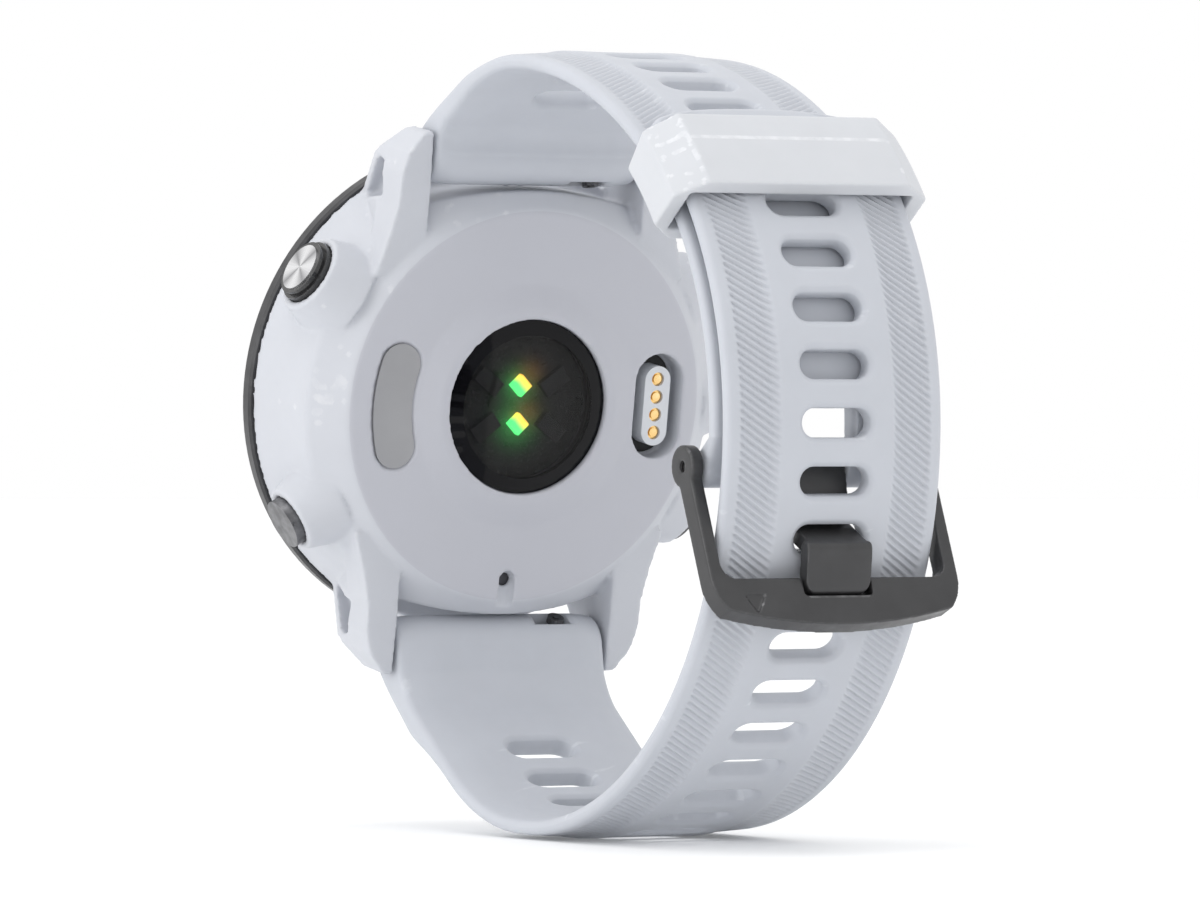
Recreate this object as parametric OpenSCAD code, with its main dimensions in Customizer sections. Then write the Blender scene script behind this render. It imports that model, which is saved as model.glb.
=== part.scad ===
// Round sports watch with a silicone strap closed into a wrist loop.
// +Z up, the display faces -Y, the case back and the strap loop lie towards +Y,
// +X is the 3 o'clock side. Everything is in millimetres.

/* [Case] */
// Radius of the dark bezel ring, the widest round part
bezel_r = 23.25; // [23:0.05:23.5]
// Height of the case from its back plane to the top of the bezel
case_h = 13.2; // [13.1:0.05:13.4]
// Angle that the case leans back about the X axis
case_tilt = 9.5; // [9:0.5:10]
// Half of the gap between a pair of lugs
lug_gap = 11.38; // [11.34:0.02:11.5]
// Distance from the case centre to each spring bar
bar_reach = 23.2; // [23.1:0.1:23.4]
// Height of the spring bars above the back plane
bar_h = 3.3; // [3.2:0.1:3.5]

/* [Buttons] */
// How far each button is pressed in
button_travel = 0.45; // [0.3:0.05:0.5]
// Angle of the outer buttons above and below the middle of the case
button_angle = 29; // [28:1:31]

/* [Strap] */
// Width of the strap
strap_w = 22; // [21.6:0.1:22]
// Thickness of the strap along its middle
strap_t = 2.1; // [2:0.05:2.2]
// Width of the adjustment holes
hole_w = 7; // [6.8:0.1:7.4]
// Height of the adjustment holes
hole_h = 2.6; // [2.6:0.1:2.8]
// Distance between adjustment holes
hole_pitch = 5.07; // [5:0.01:5.1]

/* [Buckle] */
// Half of the outer width of the buckle frame
buckle_half_w = 12.6; // [12.5:0.1:12.9]
// Width of the tongue
tongue_w = 6; // [5.6:0.1:6.2]
// Angle that the keeper covers along the strap
keeper_span = 14; // [10:1:15]

/* [Hidden] */
$fn = 96;

// --- the strap loop, seen from the side as (y, z) with the case back at (0, 0) ---
// Centre of the round part that the keeper and the buckle sit on
loop_c = [23.9, -1.5];
// Clearance between the two layers of strap
layer_gap = 0.3;
upper_in_r = 29;
lower_in_r = upper_in_r + strap_t + layer_gap;
// Where the upper strap leaves the round part, and the flatter arc over the top
upper_turn = 52;
crown_r = 43;
crown_c = loop_c - (crown_r - upper_in_r) * dir(upper_turn);
crown_end = 87;
upper_bend_r = 17;
upper_bend_c = crown_c + (crown_r - upper_bend_r) * dir(crown_end);
upper_bend_end = 117;
// The arcs of the lower strap
tip_angle = 56;
belly_r = 35.9;
belly_c = loop_c - (belly_r - lower_in_r) * dir(0);
belly_end = -95;
heel_r = 22;
heel_c = belly_c + (belly_r - heel_r) * dir(belly_end);
heel_end = -126;
heel_run = 8;
lower_bend_r = 8;
lower_bend_c = heel_c + (heel_r - lower_bend_r) * dir(heel_end) + heel_run * dir(heel_end - 90);
lower_bend_end = -160;
// Rest position of the loop on the ground and its middle from front to back
ground_z = belly_c[1] - belly_r - strap_t;
middle_y = 20.87;

// Spring bars in the side view
upper_bar = case_point(bar_reach);
lower_bar = case_point(-bar_reach);
barrel_r = 2.75;
tube_r = 0.9;
bar_pin_r = 0.4;
bar_pin_end = 12.4;
tube_half = 10.6;
// Round step from the bend down to the upper bar
neck_r = 3;
neck_c = upper_bar + [5.85, 0.1];
release_travel = 1.4;
knob_x = -6.4;
upper_knob = -169;
lower_knob = -30;

// Buckle hinge, with its own frame: y runs from the pin to the bar, z points outwards
pin_r = 0.9;
hinge_r = 28;
hinge_angle = -8.1;
hinge = loop_c + hinge_r * dir(hinge_angle);
hinge_barrel_r = 1.9;
buckle_lean = -67;
buckle_l = 13.2;
buckle_t = 2.2;
buckle_bar = 4.4;
buckle_gap = 11.35;
corner_r = 4.6;
inner_r = 1.4;
// Radius of the slightly bowed lower edge of the bar
edge_r = 45;
tongue_t = 1.4;
notch_floor = -0.2;
// The tongue is a little wider over the notch in the bar than in the strap hole
tip_w = tongue_w + 0.6;
tip_end = buckle_l - 0.7;
tip_corner = 1.2;
keeper_angle = 43.2;

// Buttons: distances are along the radius from the middle of the case
button_h = 5.4;
boss_r = 24.05;
low_boss_r = 23.4;
cap_floor = 22.4;
sleeve_r = 1.5;
stem_r = 0.8;
stem_in = 18.6;
run_gap = 0.05;

// Stack inside the case, as heights above the back plane
rim_h = 11.3;
wall = 1.3;
cavity_r = 20.5;
window_r = 8.2;
board_h = 6.9;
plate_h = 9;
panel_h = 9.8;
lens_h = 11.45;
lens_r = 21.3;
post_at = 12.3;
port_x = -14.3;
port_floor = 2.6;
port_top = 0.45;
contact_pitch = 1.7;

function dir(a) = [cos(a), sin(a)];
// Points along an arc, without its first one
function arc(c, r, a0, a1) = let (n = ceil(abs(a1 - a0) / 4)) [for (i = [1:n]) c + r * dir(a0 + (a1 - a0) * i / n)];
// Side view position of a point at height bar_h and distance z from the case centre
function case_point(z) = [
    -bar_h * cos(case_tilt) + z * sin(case_tilt),
    bar_h * sin(case_tilt) + z * cos(case_tilt)
];

// --- frames ---
module on_ground() translate([0, -middle_y, -ground_z]) children();
// x to 3 o'clock, y to 12 o'clock, z from the case back towards the display
module case_frame() on_ground() rotate([90 - case_tilt, 0, 0]) children();
// Turns a (y, z) outline into a solid that is centred on x = 0
module across(w) rotate([90, 0, 90]) linear_extrude(w, center = true) children();
module at_side(p) translate([0, p[0], p[1]]) children();
module buckle_frame_at_hinge() on_ground() at_side(hinge) rotate([buckle_lean, 0, 0]) children();
// z outwards along the button axis, origin on the axis of the case
module button_axis(a) case_frame() translate([0, 0, button_h]) rotate([0, 0, a]) rotate([0, 90, 0]) children();

// --- shared shapes ---
// Straight link with round ends, from circle rp at p to circle rq at q
module link(p, rp, q, rq) {
    v = q - p;
    lean = atan2(v[1], v[0]);
    open = acos((rp - rq) / norm(v));
    translate(p) circle(rp);
    translate(q) circle(rq);
    polygon([
        p + rp * dir(lean + open), p + rp * dir(lean - open),
        q + rq * dir(lean - open), q + rq * dir(lean + open)
    ]);
}

module racetrack(w, h, t) {
    cube([w - h, h, t], center = true);
    for (s = [-1, 1]) translate([s * (w - h) / 2, 0, 0]) cylinder(h = t, r = h / 2, center = true);
}

module ring(r_out, r_in, h) difference() {
    cylinder(h = h, r = r_out);
    translate([0, 0, -1]) cylinder(h = h + 2, r = r_in);
}

// Hole through the strap, at angle a around the centre of one of its arcs
module strap_hole(c, r, a) at_side(c) rotate([a - 90, 0, 0]) translate([0, 0, r + strap_t / 2])
    racetrack(hole_w, hole_h, strap_t + 1);

// Slot with round ends that follows an arc of radius r over +-a degrees
module arc_slot(r, w, a, t) {
    rotate([0, 0, -a]) rotate_extrude(angle = 2 * a) translate([r - w / 2, 0]) square([w, t]);
    for (s = [-1, 1]) rotate([0, 0, s * a]) translate([r, 0, 0]) cylinder(h = t, r = w / 2);
}

// --- case ---
module case_shell() rotate_extrude() polygon([
    [0, 0], [18.35, 0], [18.7, 0.2], [21.3, 2.8], [21.6, 3.3], [22.9, rim_h], [0, rim_h]
]);

// One lug on the +x +y side, cut from its side view and its plan
module lug() difference() {
    intersection() {
        translate([16, 0, 0]) across(16) polygon([
            [12, 0.9], [20, 0.7], [25.4, 0.9], [26.3, 2], [26.1, 4.4], [23.7, 6.7], [18.8, rim_h], [12, rim_h]
        ]);
        linear_extrude(rim_h) polygon([
            [lug_gap, 14], [lug_gap, 25.7], [12.4, 25.5], [13.9, 23.6], [14.5, 21.8], [14.7, 18.6], [15.4, 15.6], [16.4, 12.4], [16, 10]
        ]);
        translate([0, 30, 0]) rotate([90, 0, 0]) linear_extrude(30) polygon([
            [lug_gap, 0], [18, 0], [18, 2], [14.8, 5], [13, rim_h], [lug_gap, rim_h]
        ]);
    }
    translate([22.3, 0, 0]) across(20) polygon([[18.2, 10.2], [22.6, 6.2], [22.3, 5], [19.2, 4.2]]);
}

module lugs() for (sx = [0, 1], sy = [0, 1]) mirror([sx, 0, 0]) mirror([0, sy, 0]) {
    difference() {
        lug();
        translate([0, 0, -1]) cylinder(h = 14, r = 19.2);
    }
    intersection() {
        translate([11.3, 10, 0.6]) cube([8, 10, 10]);
        case_shell();
    }
}

// Middle of the charging port at height h, with x along its long side
module at_port(h) translate([port_x, 0, h]) rotate([0, 0, 90]) children();

// Space between the lugs, with a shallow arc as its inner wall
module strap_gap() difference() {
    translate([-lug_gap, 17, -2]) cube([2 * lug_gap, 12, 10.2]);
    translate([0, -20.9, -3]) cylinder(h = 14, r = 41);
}

module button_boss(a, r, reach) button_axis(a) translate([0, 0, 20]) cylinder(h = reach - 20, r1 = r + 2, r2 = r + 0.7);

module button_bore(a, r) button_axis(a) {
    translate([0, 0, cap_floor]) cylinder(h = 4, r = r + run_gap);
    translate([0, 0, 18]) cylinder(h = 6, r = sleeve_r);
}

module port_well() at_port(0) {
    racetrack(9.4, 4.4, 12);
    racetrack(10, 5, 2 * port_floor);
}

module bar_pin_hole(s) for (e = [-1, 1]) translate([e * (lug_gap + 0.55), s * bar_reach, bar_h])
    rotate([0, 90, 0]) cylinder(h = 1.3, r = bar_pin_r + run_gap, center = true);

module case_body() color("gainsboro") difference() {
    union() {
        case_frame() case_shell();
        case_frame() lugs();
        case_frame() translate([0, 0, -0.75]) cylinder(h = 0.75, r1 = 9.3, r2 = 11.6);
        for (b = BUTTONS) button_boss(b[0], b[1], b[2]);
    }
    case_frame() {
        for (s = [0, 1]) mirror([0, s, 0]) strap_gap();
        difference() {
            rotate_extrude() polygon([[0, wall], [17.4, wall], [19.8, 4.4], [cavity_r, 13.3], [0, 13.3]]);
            for (x = [-1, 1], y = [-1, 1]) translate([x * post_at, y * post_at, 0]) cylinder(h = plate_h, r = 1.3);
            at_port(0) racetrack(12.2, 7.2, 6);
        }
        for (x = [-1, 1], y = [-1, 1]) translate([x * post_at, y * post_at, 6]) cylinder(h = 4, r = 0.6);
        translate([0, 0, -1]) cylinder(h = 1.4, r = window_r + 0.1);
        translate([0, 0, -1]) cylinder(h = 4, r = 7.4);
        port_well();
        translate([0, 0, -0.1]) arc_slot(14, 4.4, 16, 0.5);
        translate([0.4, -17.4, -0.1]) rotate([0, 0, 90]) racetrack(3.4, 1.6, 1.8);
        translate([-0.4, -20.6, -0.1]) cube([1.6, 4, 0.9]);
        translate([0.4, -16.6, 0]) cylinder(h = 2, r = 0.65);
        for (s = [-1, 1]) bar_pin_hole(s);
    }
    for (b = BUTTONS) button_bore(b[0], b[1]);
}

module bezel_ring() color("#202124") case_frame() rotate_extrude() polygon([
    [lens_r + 0.05, rim_h], [23.05, rim_h], [bezel_r, rim_h + 0.3], [bezel_r, case_h - 0.6],
    [bezel_r - 0.5, case_h], [lens_r + 0.6, case_h], [lens_r + 0.05, case_h - 0.35]
]);

module display_lens() color("#101418") case_frame() translate([0, 0, lens_h]) cylinder(h = 1.35, r = lens_r);

module lens_gasket() color("#303030") case_frame() translate([0, 0, rim_h]) ring(21.2, 20.7, lens_h - rim_h);

module display_panel() color("#0c1c2c") case_frame() translate([0, 0, panel_h]) cylinder(h = 1.5, r = 17.3);

module display_flex() color("orange") case_frame() translate([-3, 17.6, board_h + 0.8])
    cube([6, 0.2, panel_h - board_h + 0.5]);

module antenna_ring() color("goldenrod") case_frame() translate([0, 0, panel_h]) ring(20, 18.9, 0.9);

module at_posts() for (x = [-1, 1], y = [-1, 1]) translate([x * post_at, y * post_at, 0]) children();

module chassis_plate() color("slategray") case_frame() difference() {
    translate([0, 0, plate_h]) cylinder(h = panel_h - plate_h, r = 20.1);
    at_posts() translate([0, 0, plate_h - 1]) cylinder(h = 3, r = 0.7);
    at_posts() translate([0, 0, panel_h - 0.45]) cylinder(h = 1, r = 1.25);
    translate([-3.5, 17.4, plate_h - 1]) cube([7, 0.6, 3]);
}

module chassis_screws() color("silver") case_frame() at_posts() {
    translate([0, 0, panel_h - 0.45]) cylinder(h = 0.43, r = 1.2);
    translate([0, 0, 6.4]) cylinder(h = panel_h - 6.5, r = 0.58);
}

module main_board() color("darkgreen") case_frame() difference() {
    translate([0, 0, board_h]) cylinder(h = 0.8, r = 18.4);
    at_posts() translate([0, 0, board_h - 1]) cylinder(h = 3, r = 1.6);
}

module shield_cans() color("silver") case_frame() {
    translate([-10, -8, board_h + 0.8]) cube([11, 9, 1.2]);
    translate([2.5, -7, board_h + 0.8]) cube([9, 12, 1.1]);
    translate([-8, 4, board_h + 0.8]) cube([7, 8, 1]);
}

module board_chips() color("#222222") case_frame() {
    for (p = [[-3, 11], [3, -13.5], [-8.6, -12], [6, 11]]) translate([p[0], p[1], board_h - 0.7]) cube([3, 2.4, 0.7]);
}

module battery() color("#8c9098") case_frame() translate([-9.4, -8.6, 2.7]) cube([21.6, 17.2, 3.2]);

module vibration_motor() color("silver") case_frame() translate([1, 13.2, 3]) cylinder(h = 2.7, r = 3.6);

module pressure_sensor() color("silver") case_frame() translate([-1.6, -17.4, 1.7]) cube([4, 3.4, 1.4]);

module vent_membrane() color("dimgray") case_frame() translate([0.4, -16.3, wall]) cylinder(h = 0.35, r = 1);

module sensor_window() color("#101010") case_frame() intersection() {
    translate([0, 0, -1.05]) cylinder(h = 1.25, r = window_r);
    translate([0, 0, 39]) sphere(40.05, $fn = 160);
}

module sensor_gasket() color("#303030") case_frame() translate([0, 0, 0.2]) ring(window_r, 7.5, 0.2);

module sensor_board() color("darkgreen") case_frame() translate([0, 0, 1.6]) cylinder(h = 0.6, r = 7.2);

module sensor_leds() color("lime") case_frame() for (y = [-1.85, 1.8]) translate([0, y, 0.9])
    rotate([0, 0, 45]) translate([-0.75, -0.75, 0]) cube([1.5, 1.5, 0.7]);

module photodiodes() color("#181820") case_frame() for (x = [-1, 1], y = [-1, 1]) translate([x * 3.5, y * 2.2, 0.9])
    rotate([0, 0, x * y * 38]) translate([-1.4, -0.8, 0]) cube([2.8, 1.6, 0.7]);

module charge_port_insert() color("white") case_frame() difference() {
    at_port(port_top + 2) racetrack(7.6, 2.7, 4);
    for (i = [-1.5:1.5]) at_port(-1) translate([i * contact_pitch, 0, 0]) cylinder(h = 7, r = 0.66);
}

module charge_contacts() color("gold") case_frame() for (i = [-1.5:1.5]) at_port(port_top)
    translate([i * contact_pitch, 0, 0]) {
        translate([0, 0, 0.35]) cylinder(h = 3.9, r = 0.66);
        translate([0, 0, 0.1]) cylinder(h = 0.3, r = 0.42);
    }

module charge_port_seal() color("#202020") case_frame() at_port(port_floor + 0.8) difference() {
    racetrack(9.4, 4.4, 1.6);
    racetrack(7.6, 2.7, 4);
}

module back_plate() color("silver") case_frame() arc_slot(14, 4, 16, 0.4);

// --- buttons: angle of each one, the radius of its cap and the reach of its boss ---
BUTTONS = [
    [button_angle, 3, boss_r], [-button_angle, 2.4, boss_r], [180 - button_angle, 2.4, low_boss_r],
    [180, 2.4, low_boss_r], [180 + button_angle, 2.4, low_boss_r]
];

module button_cap(i, top) button_axis(BUTTONS[i][0]) translate([0, 0, cap_floor + button_travel + 0.1]) difference() {
    cylinder(h = top - cap_floor - button_travel - 0.1, r = BUTTONS[i][1]);
    translate([0, 0, -1]) cylinder(h = 1.7, r = stem_r);
}

module button_stem(i) button_axis(BUTTONS[i][0]) translate([0, 0, stem_in]) cylinder(h = 5.05, r = stem_r);

module button_clip(i) button_axis(BUTTONS[i][0]) translate([0, 0, 19.2]) ring(1.4, stem_r, 0.25);

module button_sleeves() color("silver") for (b = BUTTONS) button_axis(b[0]) translate([0, 0, 19.5]) difference() {
    cylinder(h = cap_floor - 19.5, r = sleeve_r);
    translate([0, 0, -1]) cylinder(h = 6, r = stem_r + run_gap);
    translate([0, 0, 1.1]) cylinder(h = 0.7, r = 1.25);
}

module button_o_rings() color("#202020") for (b = BUTTONS) button_axis(b[0]) translate([0, 0, 20.95])
    rotate_extrude() translate([1.04, 0]) circle(0.2, $fn = 24);

module button_switches() color("#303030") for (b = BUTTONS) button_axis(b[0]) {
    translate([-1.45, -1.4, 16.6]) cube([2.8, 2.8, 1]);
    translate([0, 0, 17.6]) cylinder(h = 0.45, r = 0.8);
}

module start_ring() color("#18181a") button_axis(button_angle) translate([0, 0, cap_floor + button_travel + 0.1])
    difference() {
        union() {
            cylinder(h = 1.55, r = BUTTONS[0][1]);
            cylinder(h = 2.1, r = 2.7);
        }
        translate([0, 0, -1]) cylinder(h = 5, r = 2.3);
    }

module start_cap() color("silver") button_axis(button_angle) translate([0, 0, cap_floor + button_travel + 0.1])
    difference() {
        cylinder(h = 2.25, r = 2.3);
        translate([0, 0, -1]) cylinder(h = 1.7, r = stem_r);
    }

module start_stem() color("gray") button_stem(0);
module start_clip() color("gray") button_clip(0);
module back_cap() color("#38383a") button_cap(1, 24.9);
module back_stem() color("gray") button_stem(1);
module back_clip() color("gray") button_clip(1);
module light_cap() color("#38383a") button_cap(2, 23.95);
module light_stem() color("gray") button_stem(2);
module light_clip() color("gray") button_clip(2);
module up_cap() color("#38383a") button_cap(3, 23.95);
module up_stem() color("gray") button_stem(3);
module up_clip() color("gray") button_clip(3);
module down_cap() color("#38383a") button_cap(4, 23.95);
module down_stem() color("gray") button_stem(4);
module down_clip() color("gray") button_clip(4);

// --- straps ---
// Bore for the spring bar tube and the slot for its release knob
module bar_bore(p, lean) at_side(p) {
    rotate([0, 90, 0]) cylinder(h = 30, r = tube_r, center = true);
    rotate([lean, 0, 0]) translate([knob_x - 1.2, -0.9, 0]) cube([2.4 + release_travel, 1.8, 6]);
}

// Side view of the upper strap: its inner side up to the bar, then its outer side back
module upper_outline() polygon(concat(
    arc(loop_c, upper_in_r, -5, upper_turn),
    arc(crown_c, crown_r, upper_turn, crown_end),
    arc(upper_bend_c, upper_bend_r, crown_end, upper_bend_end),
    arc(neck_c, neck_r, upper_bend_end - 4, 180),
    arc(upper_bar, barrel_r, -4, -190),
    [upper_bar + [-1, 2.9]],
    arc(upper_bend_c, upper_bend_r + strap_t, upper_bend_end + 3, crown_end),
    arc(crown_c, crown_r + strap_t, crown_end, upper_turn),
    arc(loop_c, upper_in_r + strap_t, upper_turn, -3)
));

module upper_strap() color("#dfe3e8") on_ground() difference() {
    union() {
        across(strap_w) upper_outline();
        across(strap_w) link(loop_c + (upper_in_r + strap_t / 2) * dir(-2.5), strap_t / 2 - 0.1, hinge, hinge_barrel_r);
    }
    for (a = [60.8:6.5:86.8]) strap_hole(crown_c, crown_r, a);
    for (a = [102.6, 118]) strap_hole(upper_bend_c, upper_bend_r, a);
    bar_bore(upper_bar, upper_knob);
    at_side(hinge) rotate([0, 90, 0]) cylinder(h = 30, r = pin_r + run_gap, center = true);
    at_side(loop_c) rotate([hinge_angle - 1, 0, 0]) translate([0, hinge_r, 0])
        cube([tongue_w + 0.5, 9, 12.4], center = true);
}

// Side view of the lower strap: its outer side from the tip to the bar, then its inner side back
module lower_outline() polygon(concat(
    arc(loop_c, lower_in_r + strap_t, tip_angle + 2, 0),
    arc(belly_c, belly_r + strap_t, 0, belly_end),
    arc(heel_c, heel_r + strap_t, belly_end, heel_end),
    [heel_c + (heel_r + strap_t + 0.6) * dir(heel_end) + heel_run * dir(heel_end - 90)],
    [lower_bar + [-1.6, -3.2]],
    arc(lower_bar, barrel_r, 200, 7),
    arc(lower_bend_c, lower_bend_r, lower_bend_end, heel_end),
    arc(heel_c, heel_r, heel_end - 2, belly_end),
    arc(belly_c, belly_r, belly_end, 0),
    arc(loop_c, lower_in_r, 0, tip_angle)
));

module lower_strap() color("#dfe3e8") on_ground() difference() {
    across(strap_w) lower_outline();
    pitch = hole_pitch / (lower_in_r + strap_t / 2) * 180 / PI;
    belly_pitch = hole_pitch / (belly_r + strap_t / 2) * 180 / PI;
    heel_pitch = hole_pitch / (heel_r + strap_t / 2) * 180 / PI;
    heel_first = 13 + belly_end / belly_pitch;
    last_along = (heel_first + 2 - (belly_end - heel_end) / heel_pitch) * hole_pitch;
    for (i = [0:4]) strap_hole(loop_c, lower_in_r, i * pitch);
    for (i = [1:12]) strap_hole(belly_c, belly_r, -i * belly_pitch);
    for (i = [0, 1]) strap_hole(heel_c, heel_r, belly_end - (heel_first + i) * heel_pitch);
    strap_hole(heel_c + last_along * dir(heel_end - 90), heel_r, heel_end);
    bar_bore(lower_bar, lower_knob);
}

module bar_tube(p, lean) at_side(p) rotate([lean, 0, 0]) difference() {
    rotate([0, 90, 0]) cylinder(h = 2 * tube_half, r = tube_r, center = true);
    translate([-0.6, 0, 0]) rotate([0, 90, 0]) cylinder(h = 2 * tube_half, r = 0.6, center = true);
    translate([knob_x - 1, -0.4, 0]) cube([2 + release_travel, 0.8, 3]);
}

// Fixed pin at one end of the tube
module tube_end(p) at_side(p) translate([tube_half - 0.6, 0, 0]) rotate([0, 90, 0])
    cylinder(h = bar_pin_end - tube_half + 0.6, r = bar_pin_r);

module release_pin(p, lean) at_side(p) {
    translate([-bar_pin_end, 0, 0]) rotate([0, 90, 0]) cylinder(h = 3, r = bar_pin_r);
    translate([-9.6, 0, 0]) rotate([0, 90, 0]) cylinder(h = 4, r = 0.55);
    rotate([lean, 0, 0]) translate([knob_x, 0, 0]) cylinder(h = 2.9, r = 0.35);
    rotate([lean, 0, 0]) translate([knob_x, 0, 2.2]) cylinder(h = 0.6, r = 0.8);
}

// Compression spring inside the tube, behind the release pin
module bar_spring(p) at_side(p) translate([-5.5, 0, 0]) rotate([0, 90, 0])
    linear_extrude(height = 6, twist = -360 * 6, slices = 72, $fn = 6) translate([0.36, 0]) circle(0.13);

module upper_bar_tube() color("silver") on_ground() {
    bar_tube(upper_bar, upper_knob);
    tube_end(upper_bar);
}
module lower_bar_tube() color("silver") on_ground() {
    bar_tube(lower_bar, lower_knob);
    tube_end(lower_bar);
}
module upper_release_pin() color("dimgray") on_ground() release_pin(upper_bar, upper_knob);
module lower_release_pin() color("dimgray") on_ground() release_pin(lower_bar, lower_knob);
module upper_bar_spring() color("gray") on_ground() bar_spring(upper_bar);
module lower_bar_spring() color("gray") on_ground() bar_spring(lower_bar);

// --- buckle ---
module frame_outline() difference() {
    end = buckle_l + buckle_bar / 2;
    intersection() {
        union() {
            translate([-buckle_half_w, 0]) square([2 * buckle_half_w, end - corner_r]);
            translate([corner_r - buckle_half_w, 0]) square([2 * (buckle_half_w - corner_r), end]);
            for (s = [-1, 1]) translate([s * (buckle_half_w - corner_r), end - corner_r]) circle(corner_r);
        }
        translate([0, end - edge_r]) circle(edge_r, $fn = 240);
    }
    translate([-buckle_gap, -1]) square([2 * buckle_gap, end - buckle_bar - inner_r + 1]);
    translate([inner_r - buckle_gap, 0]) square([2 * (buckle_gap - inner_r), end - buckle_bar]);
    for (s = [-1, 1]) translate([s * (buckle_gap - inner_r), end - buckle_bar - inner_r]) circle(inner_r);
}

module buckle_frame() color("#4a4a4c") buckle_frame_at_hinge() difference() {
    union() {
        translate([0, 0, -buckle_t / 2]) linear_extrude(buckle_t) frame_outline();
        for (s = [-1, 1]) translate([s * (buckle_gap + buckle_half_w) / 2, 0, 0]) rotate([0, 90, 0])
            cylinder(h = buckle_half_w - buckle_gap, r = 1.9, center = true);
    }
    rotate([0, 90, 0]) cylinder(h = 2 * buckle_half_w - 1, r = pin_r, center = true);
    rotate([0, 90, 0]) cylinder(h = 40, r = 0.5, center = true);
    translate([-tip_w / 2 - 0.15, buckle_l - 3, notch_floor]) cube([tip_w + 0.3, tip_end - buckle_l + 3.15, 3]);
    translate([8.5, buckle_l - 0.1, buckle_t / 2 - 0.3]) rotate([0, 0, 90]) cylinder(h = 1, r = 1.25, $fn = 3);
}

module buckle_pin() color("silver") on_ground() at_side(hinge) rotate([0, 90, 0])
    cylinder(h = 2 * buckle_half_w - 1, r = pin_r, center = true);

// The wide end of the tongue with its round corners
module tip_outline() {
    translate([-tip_w / 2, 0]) square([tip_w, tip_end - tip_corner]);
    translate([tip_corner - tip_w / 2, 0]) square([tip_w - 2 * tip_corner, tip_end]);
    for (s = [-1, 1]) translate([s * (tip_w / 2 - tip_corner), tip_end - tip_corner]) circle(tip_corner);
}

module tongue() color("#4a4a4c") on_ground() {
    inside = loop_c + (upper_in_r + 1.2) * dir(-13.2);
    under = loop_c + (upper_in_r + 1.4) * dir(-17.3);
    outside = loop_c + (upper_in_r + 6) * dir(-18.6);
    tip = hinge + (tip_end - tongue_t / 2) * dir(buckle_lean) + 0.55 * dir(buckle_lean + 90);
    intersection() {
        across(tip_w) link(outside, tongue_t / 2, tip, tongue_t / 2 - 0.01);
        at_side(hinge) rotate([buckle_lean, 0, 0]) linear_extrude(30, center = true) tip_outline();
    }
    difference() {
        across(tongue_w) {
            link(hinge, hinge_barrel_r, inside, tongue_t / 2);
            link(inside, tongue_t / 2, under, tongue_t / 2 - 0.01);
            link(under, tongue_t / 2, outside, tongue_t / 2 - 0.01);
        }
        at_side(hinge) rotate([0, 90, 0]) cylinder(h = 30, r = pin_r + run_gap, center = true);
    }
}

// Loop that slides on the upper strap and holds the end of the lower one
module keeper() color("#e4e7ea") on_ground() at_side(loop_c) rotate([90, 0, 90])
    rotate([0, 0, keeper_angle - keeper_span / 2]) rotate_extrude(angle = keeper_span) difference() {
        r_in = upper_in_r - 0.35;
        r_out = lower_in_r + strap_t + 0.35;
        polygon([
            [r_in - 1.4, -10.6], [r_in - 1.4, 10.6], [r_in + 0.6, 13], [r_out - 0.4, 13], [r_out + 1.7, 10.2],
            [r_out + 1.7, -10.2], [r_out - 0.4, -13], [r_in + 0.6, -13]
        ]);
        translate([r_in, -lug_gap]) square([r_out - r_in, 2 * lug_gap]);
    }

case_body();
bezel_ring();
display_lens();
lens_gasket();
display_panel();
display_flex();
antenna_ring();
chassis_plate();
chassis_screws();
main_board();
shield_cans();
board_chips();
battery();
vibration_motor();
pressure_sensor();
vent_membrane();
sensor_window();
sensor_gasket();
sensor_board();
sensor_leds();
photodiodes();
charge_port_insert();
charge_contacts();
charge_port_seal();
back_plate();
button_sleeves();
button_o_rings();
button_switches();
start_cap();
start_ring();
start_stem();
start_clip();
back_cap();
back_stem();
back_clip();
light_cap();
light_stem();
light_clip();
up_cap();
up_stem();
up_clip();
down_cap();
down_stem();
down_clip();
upper_strap();
upper_bar_tube();
upper_bar_spring();
upper_release_pin();
lower_strap();
lower_bar_tube();
lower_bar_spring();
lower_release_pin();
buckle_frame();
buckle_pin();
tongue();
keeper();
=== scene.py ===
import math

import bmesh
import bpy
import numpy as np
from mathutils import Matrix, Vector


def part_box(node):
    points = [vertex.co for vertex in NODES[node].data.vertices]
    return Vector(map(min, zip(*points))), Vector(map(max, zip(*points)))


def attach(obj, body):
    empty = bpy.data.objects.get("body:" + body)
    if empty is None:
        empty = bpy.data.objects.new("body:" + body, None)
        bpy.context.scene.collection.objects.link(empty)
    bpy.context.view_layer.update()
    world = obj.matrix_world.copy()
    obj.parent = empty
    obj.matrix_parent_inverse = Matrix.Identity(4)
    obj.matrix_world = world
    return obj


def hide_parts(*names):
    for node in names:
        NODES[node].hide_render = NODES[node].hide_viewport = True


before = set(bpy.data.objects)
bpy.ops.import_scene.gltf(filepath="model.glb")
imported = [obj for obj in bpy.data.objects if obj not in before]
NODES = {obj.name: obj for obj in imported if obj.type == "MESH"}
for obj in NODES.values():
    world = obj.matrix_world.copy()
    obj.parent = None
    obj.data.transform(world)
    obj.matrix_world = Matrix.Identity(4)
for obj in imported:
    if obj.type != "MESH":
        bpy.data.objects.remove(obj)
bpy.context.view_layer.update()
MM = 0.001

# --- side view: (y, z) in mm from the middle of the case back, which is at (ROW_Y, ROW_Z) ---
ROW_Y, ROW_Z = -20.87, 39.5
TILT = math.radians(9.5)
BAR_Z, BAR_H = 23.2, 3.3   # spring bars: along the case from its middle, and above its back


def on_circle(angle, radius):
    """The point of a circle about (0, 0) at an angle in degrees."""
    a = math.radians(angle)
    return np.array([math.cos(a), math.sin(a)]) * radius


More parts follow.
